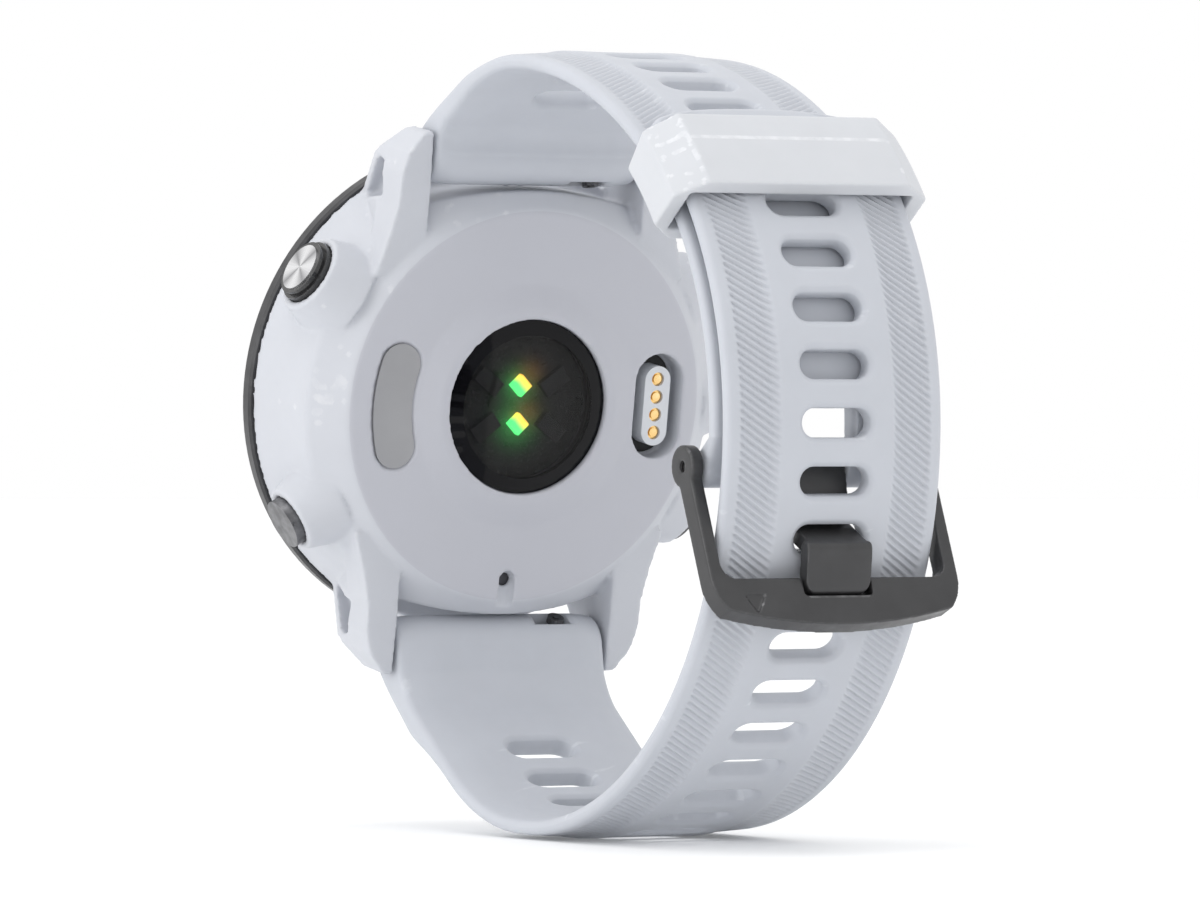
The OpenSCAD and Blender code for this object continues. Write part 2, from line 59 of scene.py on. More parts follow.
def case_bar(z):
    """Side view position of the spring bar at distance z from the case centre."""
    return np.array([-BAR_H * math.cos(TILT) + z * math.sin(TILT),
                     BAR_H * math.sin(TILT) + z * math.cos(TILT)])


# Each arc has a centre (_C), an inner radius (_R) and the angle where it stops (_END). The upper strap
# runs from the buckle over the crown to its bar, the lower strap from its tip round the belly to its bar.
STRAP_T = 2.1
LOOP_C = np.array([23.9, -1.5])
UPPER_R = 29.0
LOWER_R = 31.4
LOWER_TIP = 57.5
UPPER_TURN = 52
CROWN_R, CROWN_END = 43.0, 87
CROWN_C = LOOP_C - on_circle(UPPER_TURN, CROWN_R - UPPER_R)
UPPER_BEND_R = 17.0
UPPER_BEND_C = CROWN_C + on_circle(CROWN_END, CROWN_R - UPPER_BEND_R)
UPPER_BEND_END = 117
BELLY_R = 35.9
BELLY_C = LOOP_C - on_circle(0, BELLY_R - LOWER_R)
BELLY_END = -95
HEEL_R = 22.0
HEEL_C = BELLY_C + on_circle(BELLY_END, BELLY_R - HEEL_R)
HEEL_END = -126
HEEL_RUN = 8.0
LOWER_BEND_R = 8.0
LOWER_BEND_C = HEEL_C + on_circle(HEEL_END, HEEL_R - LOWER_BEND_R) + on_circle(HEEL_END - 90, HEEL_RUN)
LOWER_BEND_END = -160
BARREL_R = 2.75
UPPER_BAR = case_bar(BAR_Z)
LOWER_BAR = case_bar(-BAR_Z)
NECK_C, NECK_R = UPPER_BAR + np.array([5.85, 0.1]), 3.0
HINGE_R = 28
HINGE = LOOP_C + on_circle(-8.1, HINGE_R)

# --- the camera, at the photograph's viewing angle ---
CAM_TURN = math.radians(29.12)
CAM_DISTANCE = 0.7867
CAM_LENS = 251.97
CAM_ASIDE, CAM_DOWN = 6.994, 4.078   # mm from the middle of the case back to the middle of the view
CAM_BACK = Vector((math.sin(CAM_TURN), math.cos(CAM_TURN), 0.0019))
CAM_RIGHT = Vector((-math.cos(CAM_TURN), math.sin(CAM_TURN), 0))
CAM_BACK.normalize()
CAM_UP = CAM_BACK.cross(CAM_RIGHT)
CAM_TARGET = Vector((0, ROW_Y * MM, ROW_Z * MM)) + CAM_ASIDE * MM * CAM_RIGHT - CAM_DOWN * MM * CAM_UP
camera = bpy.data.objects.new("camera", bpy.data.cameras.new("camera"))
camera.data.sensor_width = 36
camera.data.lens = CAM_LENS
camera.data.clip_start, camera.data.clip_end = 0.05, 20
camera.matrix_world = Matrix.Translation(CAM_TARGET + CAM_BACK * CAM_DISTANCE) @ Matrix(
    (CAM_RIGHT, CAM_UP, CAM_BACK)).transposed().to_4x4()
bpy.context.scene.collection.objects.link(camera)
bpy.context.scene.camera = camera

# --- light and floor ---
scene = bpy.context.scene
scene.view_settings.view_transform = "Standard"
world = bpy.data.worlds.new("studio")
scene.world = world
world.use_nodes = True
world.node_tree.nodes["Background"].inputs["Color"].default_value = (1, 1, 1, 1)
world.node_tree.nodes["Background"].inputs["Strength"].default_value = 1.0


def area_light(name, place, target, size, power, tint=(1, 1, 1)):
    data = bpy.data.lights.new(name, "AREA")
    data.shape = "RECTANGLE"
    data.size, data.size_y = size
    data.energy = power
    data.color = tint
    lamp = bpy.data.objects.new(name, data)
    lamp.location = Vector(place)
    lamp.rotation_euler = (Vector(target) - Vector(place)).to_track_quat("-Z", "Y").to_euler()
    scene.collection.objects.link(lamp)


MIDDLE = (0, 0, 0.04)
area_light("top_softbox", (0.1, 0.05, 0.6), MIDDLE, (0.4, 0.4), 0.75)
area_light("side_softbox", (0.6, -0.05, 0.2), MIDDLE, (0.3, 0.4), 0.8)


def link_mesh(name, points, faces, smooth=True):
    mesh = bpy.data.meshes.new(name)
    mesh.from_pydata([tuple(p) for p in points], [], faces)
    mesh.update()
    made = bpy.data.objects.new(name, mesh)
    scene.collection.objects.link(made)
    if smooth:
        mesh.polygons.foreach_set("use_smooth", [True] * len(mesh.polygons))
    return made


# --- materials ---
class Nodes:
    """A material's node tree with short ways to add to it."""

    def __init__(self, name):
        self.material = bpy.data.materials.new(name)
        self.material.use_nodes = True
        self.tree = self.material.node_tree
        self.shader = self.tree.nodes["Principled BSDF"]
        self.place = self.add("ShaderNodeTexCoord").outputs["Object"]

    def add(self, kind, **values):
        node = self.tree.nodes.new(kind)
        for key, value in values.items():
            setattr(node, key, value)
        return node

    def link(self, source, target):
        self.tree.links.new(source, target)

    def noise(self, scale, detail=3.0, roughness=0.55, stretch=None):
        node = self.add("ShaderNodeTexNoise")
        node.inputs["Scale"].default_value = scale
        node.inputs["Detail"].default_value = detail
        node.inputs["Roughness"].default_value = roughness
        source = self.place
        if stretch:
            mapping = self.add("ShaderNodeMapping")
            mapping.inputs["Scale"].default_value = stretch
            self.link(self.place, mapping.inputs["Vector"])
            source = mapping.outputs["Vector"]
        self.link(source, node.inputs["Vector"])
        return node.outputs["Fac"]

    def remap(self, value, low, high, start=0.3, end=0.7):
        node = self.add("ShaderNodeMapRange")
        for key, number in zip(("From Min", "From Max", "To Min", "To Max"), (start, end, low, high)):
            node.inputs[key].default_value = number
        self.link(value, node.inputs["Value"])
        return node.outputs["Result"]

    def math(self, operation, a, b=0.0):
        node = self.add("ShaderNodeMath", operation=operation)
        for socket, value in zip(node.inputs, (a, b)):
            if isinstance(value, (int, float)):
                socket.default_value = value
            else:
                self.link(value, socket)
        return node.outputs["Value"]

    def mix(self, factor, a, b):
        node = self.add("ShaderNodeMix", data_type="RGBA")
        for key, value in ((0, factor), (6, a), (7, b)):
            if isinstance(value, (int, float)):
                node.inputs[key].default_value = value
            elif isinstance(value, tuple):
                node.inputs[key].default_value = (*value, 1)
            else:
                self.link(value, node.inputs[key])
        return node.outputs[2]

    def bump(self, height, distance, strength=1.0, onto=None):
        node = self.add("ShaderNodeBump")
        node.inputs["Distance"].default_value = distance
        node.inputs["Strength"].default_value = strength
        self.link(height, node.inputs["Height"])
        if onto is not None:
            self.link(onto, node.inputs["Normal"])
        return node.outputs["Normal"]

    def edges(self, low=0.52, high=0.62):
        return self.remap(self.add("ShaderNodeNewGeometry").outputs["Pointiness"], 0, 1, low, high)


def surface(name, color, rough, metal=0.0, vary=0.05, grain=6000, depth=2e-6, blotch=220,
            rough_vary=0.06, wear=None, coat=0.0, specular=0.5, stretch=None, sheen=0.0, subsurface=0.0):
    """A moulded, cast or brushed surface: fine grain, broad tone changes, uneven gloss, paler edges."""
    n = Nodes(name)
    n.shader.inputs["Metallic"].default_value = metal
    n.shader.inputs["Specular IOR Level"].default_value = specular
    n.shader.inputs["Coat Weight"].default_value = coat
    n.shader.inputs["Sheen Weight"].default_value = sheen
    if subsurface:
        n.shader.inputs["Subsurface Weight"].default_value = subsurface
        n.shader.inputs["Subsurface Scale"].default_value = 0.0006
        n.shader.inputs["Subsurface Radius"].default_value = (1, 0.9, 0.85)
    dark = tuple(c * (1 - vary) for c in color)
    light = tuple(min(1, c * (1 + vary)) for c in color)
    tone = n.mix(n.remap(n.noise(blotch, 4), 0, 1), dark, light)
    if wear:
        scuff = n.math("MULTIPLY", n.edges(), n.remap(n.noise(900, 4), 0.25, 1, 0.4, 0.65))
        tone = n.mix(scuff, tone, wear)
    n.link(tone, n.shader.inputs["Base Color"])
    fine = n.noise(grain, 3, 0.6, stretch)
    wide = n.noise(blotch * 3, 3)
    gloss = n.math("ADD", n.remap(wide, rough - rough_vary, rough + rough_vary),
                   n.remap(fine, -rough_vary / 3, rough_vary / 3))
    n.link(gloss, n.shader.inputs["Roughness"])
    n.link(n.bump(fine, depth), n.shader.inputs["Normal"])
    return n


M = {}


def keep(key, nodes):
    M[key] = nodes.material
    return nodes


keep("strap", surface("strap_silicone", (0.52, 0.54, 0.585), 0.52, grain=9000, depth=3e-6, vary=0.018,
                      wear=(0.60, 0.62, 0.66), specular=0.4, sheen=0.03, subsurface=0.12))
keep("keeper", surface("keeper_silicone", (0.60, 0.615, 0.645), 0.55, grain=8000, depth=1.2e-6, vary=0.016,
                       wear=(0.72, 0.73, 0.76), specular=0.42, subsurface=0.1))
keep("buckle", surface("buckle_gunmetal", (0.062, 0.062, 0.064), 0.36, metal=0.55, grain=16000, depth=4e-6,
                       vary=0.1, wear=(0.17, 0.17, 0.175), specular=0.45))
keep("bezel", surface("bezel_black", (0.018, 0.018, 0.02), 0.34, grain=9000, depth=2e-6, vary=0.12,
                      wear=(0.06, 0.06, 0.065)))
keep("steel", surface("turned_steel", (0.62, 0.62, 0.63), 0.3, metal=1, grain=5000, vary=0.05,
                      wear=(0.75, 0.75, 0.75)))
keep("button", surface("button_gunmetal", (0.075, 0.075, 0.08), 0.33, metal=0.6, grain=12000, vary=0.1,
                       wear=(0.2, 0.2, 0.21)))
keep("black_gloss", surface("start_ring_black", (0.012, 0.012, 0.013), 0.16, grain=9000, depth=1e-6, vary=0.1,
                            wear=(0.05, 0.05, 0.05), coat=0.3))
keep("gasket", surface("gasket_rubber", (0.02, 0.02, 0.021), 0.6, grain=7000, depth=4e-6, vary=0.15))
keep("gold", surface("contact_gold", (0.83, 0.55, 0.22), 0.24, metal=1, grain=9000, vary=0.06,
                     wear=(0.95, 0.75, 0.42)))
keep("port", surface("port_white", (0.64, 0.66, 0.69), 0.38, grain=8000, vary=0.03))
keep("chip", surface("chip_black", (0.025, 0.025, 0.028), 0.45, grain=8000, vary=0.15))
keep("board", surface("board_green", (0.012, 0.09, 0.045), 0.35, grain=5000, vary=0.3, blotch=900))
keep("foil", surface("battery_foil", (0.45, 0.46, 0.48), 0.36, metal=0.8, grain=3000, depth=8e-6, vary=0.08))
keep("alloy", surface("chassis_metal", (0.45, 0.47, 0.5), 0.38, metal=1, grain=5000, vary=0.08))
keep("brass", surface("antenna_brass", (0.62, 0.45, 0.2), 0.3, metal=1, grain=5000, vary=0.08))
keep("flex", surface("flex_polyimide", (0.55, 0.24, 0.04), 0.35, grain=4000, vary=0.12))
keep("membrane", surface("membrane_grey", (0.09, 0.09, 0.1), 0.8, grain=12000, depth=6e-6, vary=0.05))
keep("diode", surface("diode_dark", (0.012, 0.012, 0.016), 0.2, grain=9000, vary=0.2, coat=0.3))
keep("panel", surface("display_black", (0.004, 0.005, 0.006), 0.2, grain=9000, vary=0.2))


BACK_DISC_R, BACK_DISC_H = 0.01845, 0.0003   # the flat printed disc, in metres
LED_UP = 0.00182        # each emitter's distance from the case's axis
WINDOW_CLEAR_R = 0.0068
DIAL_H = 0.0125         # the dial is drawn only above this height


def case_place(n):
    """Across, up, height above the back plane and distance from the case's axis, as sockets in metres."""
    split = n.add("ShaderNodeSeparateXYZ")
    n.link(n.place, split.inputs["Vector"])
    y = n.math("SUBTRACT", split.outputs["Y"], ROW_Y * MM)
    z = n.math("SUBTRACT", split.outputs["Z"], ROW_Z * MM)
    up = n.math("ADD", n.math("MULTIPLY", y, math.sin(TILT)), n.math("MULTIPLY", z, math.cos(TILT)))
    high = n.math("ADD", n.math("MULTIPLY", y, -math.cos(TILT)), n.math("MULTIPLY", z, math.sin(TILT)))
    across = split.outputs["X"]
    radius = n.math("SQRT", n.math("ADD", n.math("MULTIPLY", across, across), n.math("MULTIPLY", up, up)))
    return across, up, high, radius


def case_material():
    """White moulded plastic, with the flat printed disc of the back a shade greyer: partly its own tone,
    partly painted shade where the strap loop shades the back.
    """
    n = surface("case_plastic", (0.56, 0.575, 0.615), 0.52, grain=5000, depth=1.2e-6, vary=0.014,
                wear=(0.64, 0.65, 0.68), specular=0.32, subsurface=0.08)
    *_, high, radius = case_place(n)
    # painted shade: the colour of the flat disc of the back is darkened towards (0.50, 0.505, 0.55), partly
    # its own greyer tone, partly the shadow the strap loop casts on the back
    inside = n.math("MULTIPLY", n.math("LESS_THAN", radius, BACK_DISC_R),
                    n.math("LESS_THAN", high, BACK_DISC_H))
    plain = n.shader.inputs["Base Color"].links[0].from_socket
    n.link(n.mix(n.math("MULTIPLY", inside, 0.75), plain, (0.50, 0.505, 0.55)), n.shader.inputs["Base Color"])
    return n


keep("case", case_material())


# Steel brushed across, by grain that is stretched along one axis
keep("plate", surface("back_plate_steel", (0.37, 0.37, 0.38), 0.36, metal=0.75, grain=1, depth=5e-6, vary=0.04,
                      stretch=(9000, 500, 500), blotch=120))


def disc_material(centre, axis):
    """Metal disc with marks that run out from its middle, and a painted highlight: its colour is paler along
    crossed bands where such marks would catch the light.
    """
    n = surface("start_disc_steel", (0.72, 0.72, 0.73), 0.27, metal=1, grain=6000, vary=0.04,
                wear=(0.9, 0.9, 0.9))
    shift = n.add("ShaderNodeVectorMath", operation="SUBTRACT")
    n.link(n.place, shift.inputs[0])
    shift.inputs[1].default_value = centre
    side = Vector(axis).orthogonal().normalized()
    other = Vector(axis).cross(side)
    parts = []
    for direction in (side, other):
        dot = n.add("ShaderNodeVectorMath", operation="DOT_PRODUCT")
        n.link(shift.outputs["Vector"], dot.inputs[0])
        dot.inputs[1].default_value = direction
        parts.append(dot.outputs["Value"])
    turn = n.math("ARCTAN2", parts[0], parts[1])
    waves = n.add("ShaderNodeTexNoise", noise_dimensions="1D")
    waves.inputs["Scale"].default_value = 26
    waves.inputs["Detail"].default_value = 4
    n.link(turn, waves.inputs["W"])
    # painted highlight: the base colour runs from dark to pale by angle round the middle, a cross of four
    # bright bands streaked by the marks
    cross = n.math("ABSOLUTE", n.math("SINE", n.math("MULTIPLY", turn, 2)))
    shade = n.math("MULTIPLY", cross, n.remap(waves.outputs["Fac"], 0.75, 1.1))
    n.link(n.mix(shade, (0.33, 0.33, 0.34), (0.86, 0.86, 0.87)), n.shader.inputs["Base Color"])
    n.link(n.bump(waves.outputs["Fac"], 8e-6), n.shader.inputs["Normal"])
    return n


def glow_spot(n, across, up, reach):
    """Brightness round a point, falling off as exp(-(distance / reach) ** 2)."""
    d2 = n.math("ADD", n.math("MULTIPLY", across, across), n.math("MULTIPLY", up, up))
    return n.math("POWER", 2.718, n.math("MULTIPLY", d2, -1 / (reach * reach)))


def glow_board_material():
    """Dark sensor board with painted glow: emission round the two green emitters, brightest beside each one,
    stands in for the light they throw on it.
    """
    n = surface("sensor_board_dark", (0.010, 0.012, 0.012), 0.3, grain=5000, vary=0.3, blotch=900)
    across, up, *_ = case_place(n)
    # painted glow: green emission falling off round each emitter
    total = None
    for place, reach in ((1.8, 0.0015), (-1.85, 0.0018)):
        fall = glow_spot(n, across, n.math("SUBTRACT", up, place * MM), reach)
        total = fall if total is None else n.math("ADD", total, fall)
    # painted glow: two orange emission spots beside the emitters
    warm = None
    for place in (2.7, -0.9):
        from_spot = n.math("SUBTRACT", up, place * MM)
        fall = glow_spot(n, n.math("ADD", across, 1.0 * MM), from_spot, 0.0013)
        warm = fall if warm is None else n.math("ADD", warm, fall)
    glow = n.mix(total, (0, 0, 0), (0.10, 0.80, 0.16))
    n.link(n.mix(n.math("MULTIPLY", warm, 0.5), glow, (0.75, 0.24, 0.05)), n.shader.inputs["Emission Color"])
    n.shader.inputs["Emission Strength"].default_value = 0.6
    return n


keep("sensor_board", glow_board_material())


def led_material():
    """Small square emitter: green towards one corner, shading through yellow to orange towards the opposite
    one.
    """
    n = surface("led_green", (0.3, 0.8, 0.3), 0.3, grain=5000, vary=0.1)
    across, up, *_ = case_place(n)
    above = n.math("MULTIPLY", n.math("SIGN", up), n.math("SUBTRACT", n.math("ABSOLUTE", up), LED_UP))
    slant = n.math("ADD", n.math("SUBTRACT", above, across), n.math("MULTIPLY", n.noise(900, 2), 0.0004))
    tone = n.mix(n.remap(slant, 0, 1, -0.0002, 0.0007), (0.10, 1.0, 0.22), (1.0, 0.86, 0.10))
    tone = n.mix(n.remap(slant, 0, 1, 0.0009, 0.0013), tone, (1.0, 0.42, 0.06))
    n.link(tone, n.shader.inputs["Emission Color"])
    n.shader.inputs["Emission Strength"].default_value = 3.6
    return n


keep("led", led_material())


def window_material(name, tint, gloss):
    """Smoked glass: what lies behind shows faintly, inside an opaque black border."""
    n = Nodes(name)
    n.shader.inputs["Base Color"].default_value = (0.004, 0.004, 0.005, 1)
    n.shader.inputs["Specular IOR Level"].default_value = 0.18
    smear = n.noise(160, 4)
    n.link(n.remap(smear, gloss, gloss + 0.03), n.shader.inputs["Roughness"])
    n.link(n.bump(n.noise(40, 1), 4e-6), n.shader.inputs["Normal"])
    clear = n.add("ShaderNodeBsdfTransparent")
    clear.inputs["Color"].default_value = (tint, tint, tint, 1)
    sheen = n.add("ShaderNodeBsdfGlossy")
    n.link(n.remap(smear, gloss, gloss + 0.03), sheen.inputs["Roughness"])
    fresnel = n.add("ShaderNodeFresnel")
    fresnel.inputs["IOR"].default_value = 1.28
    blend = n.add("ShaderNodeMixShader")
    n.link(fresnel.outputs["Fac"], blend.inputs["Fac"])
    n.link(clear.outputs["BSDF"], blend.inputs[1])
    n.link(sheen.outputs["BSDF"], blend.inputs[2])
    masked = n.add("ShaderNodeMixShader")
    *_, radius = case_place(n)
    n.link(n.math("GREATER_THAN", radius, WINDOW_CLEAR_R), masked.inputs["Fac"])
    n.link(blend.outputs["Shader"], masked.inputs[1])
    n.link(n.shader.outputs["BSDF"], masked.inputs[2])
    output = next(x for x in n.tree.nodes if x.type == "OUTPUT_MATERIAL")
    n.link(masked.outputs["Shader"], output.inputs["Surface"])
    return n


keep("window", window_material("sensor_glass", 0.6, 0.03))


DIAL_MARKS = ((60, 15.9, 16.7, 0.16), (12, 14.3, 16.7, 0.05))   # count, radii in mm, half width per spacing
HANDS = ((-54, 9.2, 0.55), (57, 13.2, 0.4))                     # angle, reach and half width in mm
HAND_START = 2.2
HUB_R, HUB_HALF_W = 1.7, 0.35


def lens_material():
    """Black cover glass with a plain dial behind it: minute marks, hour marks and two hands."""
    n = surface("cover_glass", (0.006, 0.007, 0.008), 0.05, grain=900, depth=4e-7, vary=0.2, rough_vary=0.02,
                coat=0.6)
    across, up, high, radius = case_place(n)
    turn = n.math("DIVIDE", n.math("ARCTAN2", across, up), 2 * math.pi)
    lit = None
    for count, inner, outer, width in DIAL_MARKS:
        part = n.math("SUBTRACT", n.math("FRACT", n.math("ADD", n.math("MULTIPLY", turn, count), 0.5)), 0.5)
        mark = n.math("LESS_THAN", n.math("ABSOLUTE", part), width)
        mark = n.math("MULTIPLY", mark, n.math("GREATER_THAN", radius, inner * MM))
        mark = n.math("MULTIPLY", mark, n.math("LESS_THAN", radius, outer * MM))
        lit = mark if lit is None else n.math("MAXIMUM", lit, mark)
    for angle, reach, width in HANDS:
        sine, cosine = math.sin(math.radians(angle)), math.cos(math.radians(angle))
        along = n.math("ADD", n.math("MULTIPLY", across, sine), n.math("MULTIPLY", up, cosine))
        aside = n.math("SUBTRACT", n.math("MULTIPLY", across, cosine), n.math("MULTIPLY", up, sine))
        hand = n.math("LESS_THAN", n.math("ABSOLUTE", aside), width * MM)
        hand = n.math("MULTIPLY", hand, n.math("LESS_THAN", along, reach * MM))
        hand = n.math("MULTIPLY", hand, n.math("GREATER_THAN", along, HAND_START * MM))
        lit = n.math("MAXIMUM", lit, hand)
    ring = n.math("LESS_THAN", n.math("ABSOLUTE", n.math("SUBTRACT", radius, HUB_R * MM)), HUB_HALF_W * MM)
    lit = n.math("MULTIPLY", n.math("MAXIMUM", lit, ring), n.math("GREATER_THAN", high, DIAL_H))
    n.link(n.mix(lit, (0, 0, 0), (0.62, 0.66, 0.68)), n.shader.inputs["Emission Color"])
    n.shader.inputs["Emission Strength"].default_value = 0.8
    return n


keep("lens", lens_material())

floor_look = surface("floor_paint", (0.92, 0.925, 0.93), 0.6, grain=900, depth=1e-5, vary=0.006, blotch=8)
floor_look.shader.inputs["Emission Color"].default_value = (1, 1, 1, 1)
floor_look.shader.inputs["Emission Strength"].default_value = 0.1

LOOKS = {
    "case_body": "case", "bezel_ring": "bezel", "display_lens": "lens", "lens_gasket": "gasket",
    "display_panel": "panel", "display_flex": "flex", "antenna_ring": "brass", "chassis_plate": "alloy",
    "main_board": "board", "board_chips": "chip", "battery": "foil", "vent_membrane": "membrane",
    "sensor_window": "window", "sensor_gasket": "gasket", "sensor_board": "sensor_board",
    "sensor_leds": "led", "photodiodes": "diode", "charge_port_insert": "port",
    "charge_contacts": "gold", "charge_port_seal": "gasket", "back_plate": "plate",
    "button_o_rings": "gasket", "button_switches": "chip", "start_ring": "black_gloss",
    "back_cap": "button", "light_cap": "button", "up_cap": "button", "down_cap": "button",
    "upper_release_pin": "button", "lower_release_pin": "button", "upper_strap": "strap",
    "lower_strap": "strap", "buckle_frame": "buckle", "tongue": "buckle", "keeper": "keeper",
}


def paint(thing, key):
    thing.data.materials.clear()
    thing.data.materials.append(M[key])


for node_name, node_object in NODES.items():
    paint(node_object, LOOKS.get(node_name, "steel"))

low, high_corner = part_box("start_cap")
start_middle = (low + high_corner) / 2
START_ANGLE = math.radians(29)
start_axis = Vector((math.cos(START_ANGLE), math.sin(START_ANGLE) * math.sin(TILT),
                     math.sin(START_ANGLE) * math.cos(TILT)))
keep("disc", disc_material(start_middle, start_axis))
paint(NODES["start_cap"], "disc")


def soften(name, voxel, rounds):
    """Rounds every edge of a moulded or cast CAD node."""
    node = NODES[name]
    weld = node.modifiers.new("weld", "WELD")
    weld.merge_threshold = 1e-6
    remesh = node.modifiers.new("fine_mesh", "REMESH")
    remesh.mode = "VOXEL"
    remesh.voxel_size = voxel * MM
    remesh.use_smooth_shade = True
    smooth = node.modifiers.new("round_edges", "SMOOTH")
    smooth.factor = 0.5
    smooth.iterations = rounds


SOFT = (("case_body", 0.22, 3), ("keeper", 0.17, 6), ("buckle_frame", 0.13, 5), ("tongue", 0.13, 4))
for soft_name, voxel_mm, smooth_rounds in SOFT:
    soften(soft_name, voxel_mm, smooth_rounds)


# --- straps ---
ARC_STEP = 0.12
EYE_R = 1.9             # round the buckle pin
HEEL_SWELL = 0.6        # the lower strap is this much thicker where it leaves the straight run


def arc(centre, radius, a0, a1):
    count = max(2, int(abs(math.radians(a1 - a0)) * radius / ARC_STEP))
    return [centre + on_circle(a0 + (a1 - a0) * i / count, radius) for i in range(count + 1)]


def resample(points, count, rounds=0):
    """count points evenly along a polyline, with its corners rounded first."""
    p = np.array(points)
    for _ in range(rounds):
        q, r = 0.75 * p[:-1] + 0.25 * p[1:], 0.25 * p[:-1] + 0.75 * p[1:]
        p = np.vstack([p[:1], np.stack([q, r], 1).reshape(-1, 2), p[-1:]])
    length = np.concatenate([[0], np.cumsum(np.linalg.norm(np.diff(p, axis=0), axis=1))])
    at = np.linspace(0, length[-1], count)
    return np.stack([np.interp(at, length, p[:, k]) for k in (0, 1)], 1)


class Path:
    """A strap's side view as matching points of its inner and outer side, by distance s along its middle."""

    def __init__(self, pieces):
        inner = np.vstack([p[0] for p in pieces])
        outer = np.vstack([p[1] for p in pieces])
        middle = (inner + outer) / 2
        step = np.linalg.norm(np.diff(middle, axis=0), axis=1)
        good = np.concatenate([[True], step > 1e-6])
        self.inner, self.outer, middle = inner[good], outer[good], middle[good]
        self.s = np.concatenate([[0], np.cumsum(np.linalg.norm(np.diff(middle, axis=0), axis=1))])
        self.length = self.s[-1]

    def at(self, s):
        s = np.clip(s, 0, self.length)
        inner = np.stack([np.interp(s, self.s, self.inner[:, k]) for k in (0, 1)], -1)
        outer = np.stack([np.interp(s, self.s, self.outer[:, k]) for k in (0, 1)], -1)
        return inner, outer


def arc_pair(centre, r_in, a0, a1):
    """The inner and the outer side of a strap along one arc."""
    inner = np.array(arc(centre, r_in, a0, a1))
    return inner, centre + (inner - centre) * (r_in + STRAP_T) / r_in


def lower_path():
    """From the tip under the keeper, down round the loop and up to the lower bar."""
    pieces = [arc_pair(LOOP_C, LOWER_R, LOWER_TIP, 0), arc_pair(BELLY_C, BELLY_R, 0, BELLY_END),
              arc_pair(HEEL_C, HEEL_R, BELLY_END, HEEL_END)]
    run_in = HEEL_C + on_circle(HEEL_END, HEEL_R) + on_circle(HEEL_END - 90, HEEL_RUN)
    run_out = HEEL_C + on_circle(HEEL_END, HEEL_R + STRAP_T + HEEL_SWELL) + on_circle(HEEL_END - 90, HEEL_RUN)
    pieces.append((resample([pieces[-1][0][-1], run_in], 60), resample([pieces[-1][1][-1], run_out], 60)))
    bend = arc(LOWER_BEND_C, LOWER_BEND_R, HEEL_END, LOWER_BEND_END)
    inside = bend + arc(LOWER_BAR, BARREL_R, 7, 130)
    outside = [run_out, LOWER_BAR + np.array([-1.6, -3.2])] + arc(LOWER_BAR, BARREL_R, 200, 130)
    pieces.append((resample(inside, 90, 2), resample(outside, 90, 2)))
    return Path(pieces)


def upper_path():
    """From the buckle pin, up over the crown and down to the upper bar."""
    pin_side = resample(arc(HINGE, EYE_R, -100, -190) + [LOOP_C + on_circle(-2.5, UPPER_R + 0.1)], 60, 1)
    far_side = resample(arc(HINGE, EYE_R, -100, -10) + [LOOP_C + on_circle(-2.5, UPPER_R + STRAP_T)], 60, 1)
    pieces = [(pin_side, far_side), arc_pair(LOOP_C, UPPER_R, -2, UPPER_TURN),
              arc_pair(CROWN_C, CROWN_R, UPPER_TURN, CROWN_END),
              arc_pair(UPPER_BEND_C, UPPER_BEND_R, CROWN_END, UPPER_BEND_END)]
    inside = [pieces[-1][0][-1]] + arc(NECK_C, NECK_R, UPPER_BEND_END, 180)
    inside += arc(UPPER_BAR, BARREL_R, -4, -130)
    outside = [pieces[-1][1][-1], UPPER_BAR + np.array([-1.0, 2.9])] + arc(UPPER_BAR, BARREL_R, 170, 230)
    pieces.append((resample(inside, 90, 2), resample(outside, 90, 2)))
    return Path(pieces)


HALF_W = 11.0
CORE_X = 5.5          # the plain middle with the holes
HATCH_END = 9.7
HOLE_PITCH, PITCH_ROWS = 5.07, 35
ROW = HOLE_PITCH / PITCH_ROWS       # distance between mesh rows
TOOTH = np.array([0.0, 1.0, 0.72, 0.42, 0.18])   # depth of one groove over its five rows
HATCH_DEPTH = 0.3
LEAN = math.tan(math.radians(33))
SIDE_X = [CORE_X, 5.75, 6.05, 6.7, 7.6, 8.5, 9.2, 9.5, 9.75, 10.1, 10.4, 10.62, 10.8, 10.93, HALF_W]
UNDER_X = [HALF_W, 10.93, 10.8, 10.62, 10.4, 9.9, 9.3, 8.6, 7.2, CORE_X]
CORE_COLUMNS = 16
HOLE_HALF_W, HOLE_HALF_H = 3.5, 1.3
CORNER_TURN = math.radians(55)   # how far round a hole's end its side edge reaches
EDGE_R = 0.62
TIP_HALF_W, TIP_POWER = 11.6, 2.4   # outline of the lower strap's tip
END_ROUND, END_DROP = 0.9, 0.75     # length and depth of the rounding at the tip's edge
STEP_W, STEP_DROP = 1.2, 0.12       # the top falls a little beside the plain middle
SLOPE_W, SLOPE = 4.9, 0.065         # and then slopes to the sides
CURL_FROM, CURL_W, CURL_RISE = 8.2, 2.8, 0.35   # the underside rises towards the sides
# How far out from a hole's edge, and how deep, each ring of its countersink lies
SINK = ((0.0, 0.42), (0.06, 0.33), (0.2, 0.2), (0.36, 0.08), (0.5, 0.015), (0.62, 0.0))


def ease(x):
    x = np.clip(x, 0, 1)
    return x * x * (3 - 2 * x)


def edge_drop(x, t):
    """How far the surface falls where it rounds over at the strap's side."""
    r = min(EDGE_R, 0.5 * t)
    u = np.clip((np.abs(x) - (HALF_W - r)) / r, 0, 1)
    return r * (1 - np.sqrt(np.clip(1 - u * u, 0, 1)))


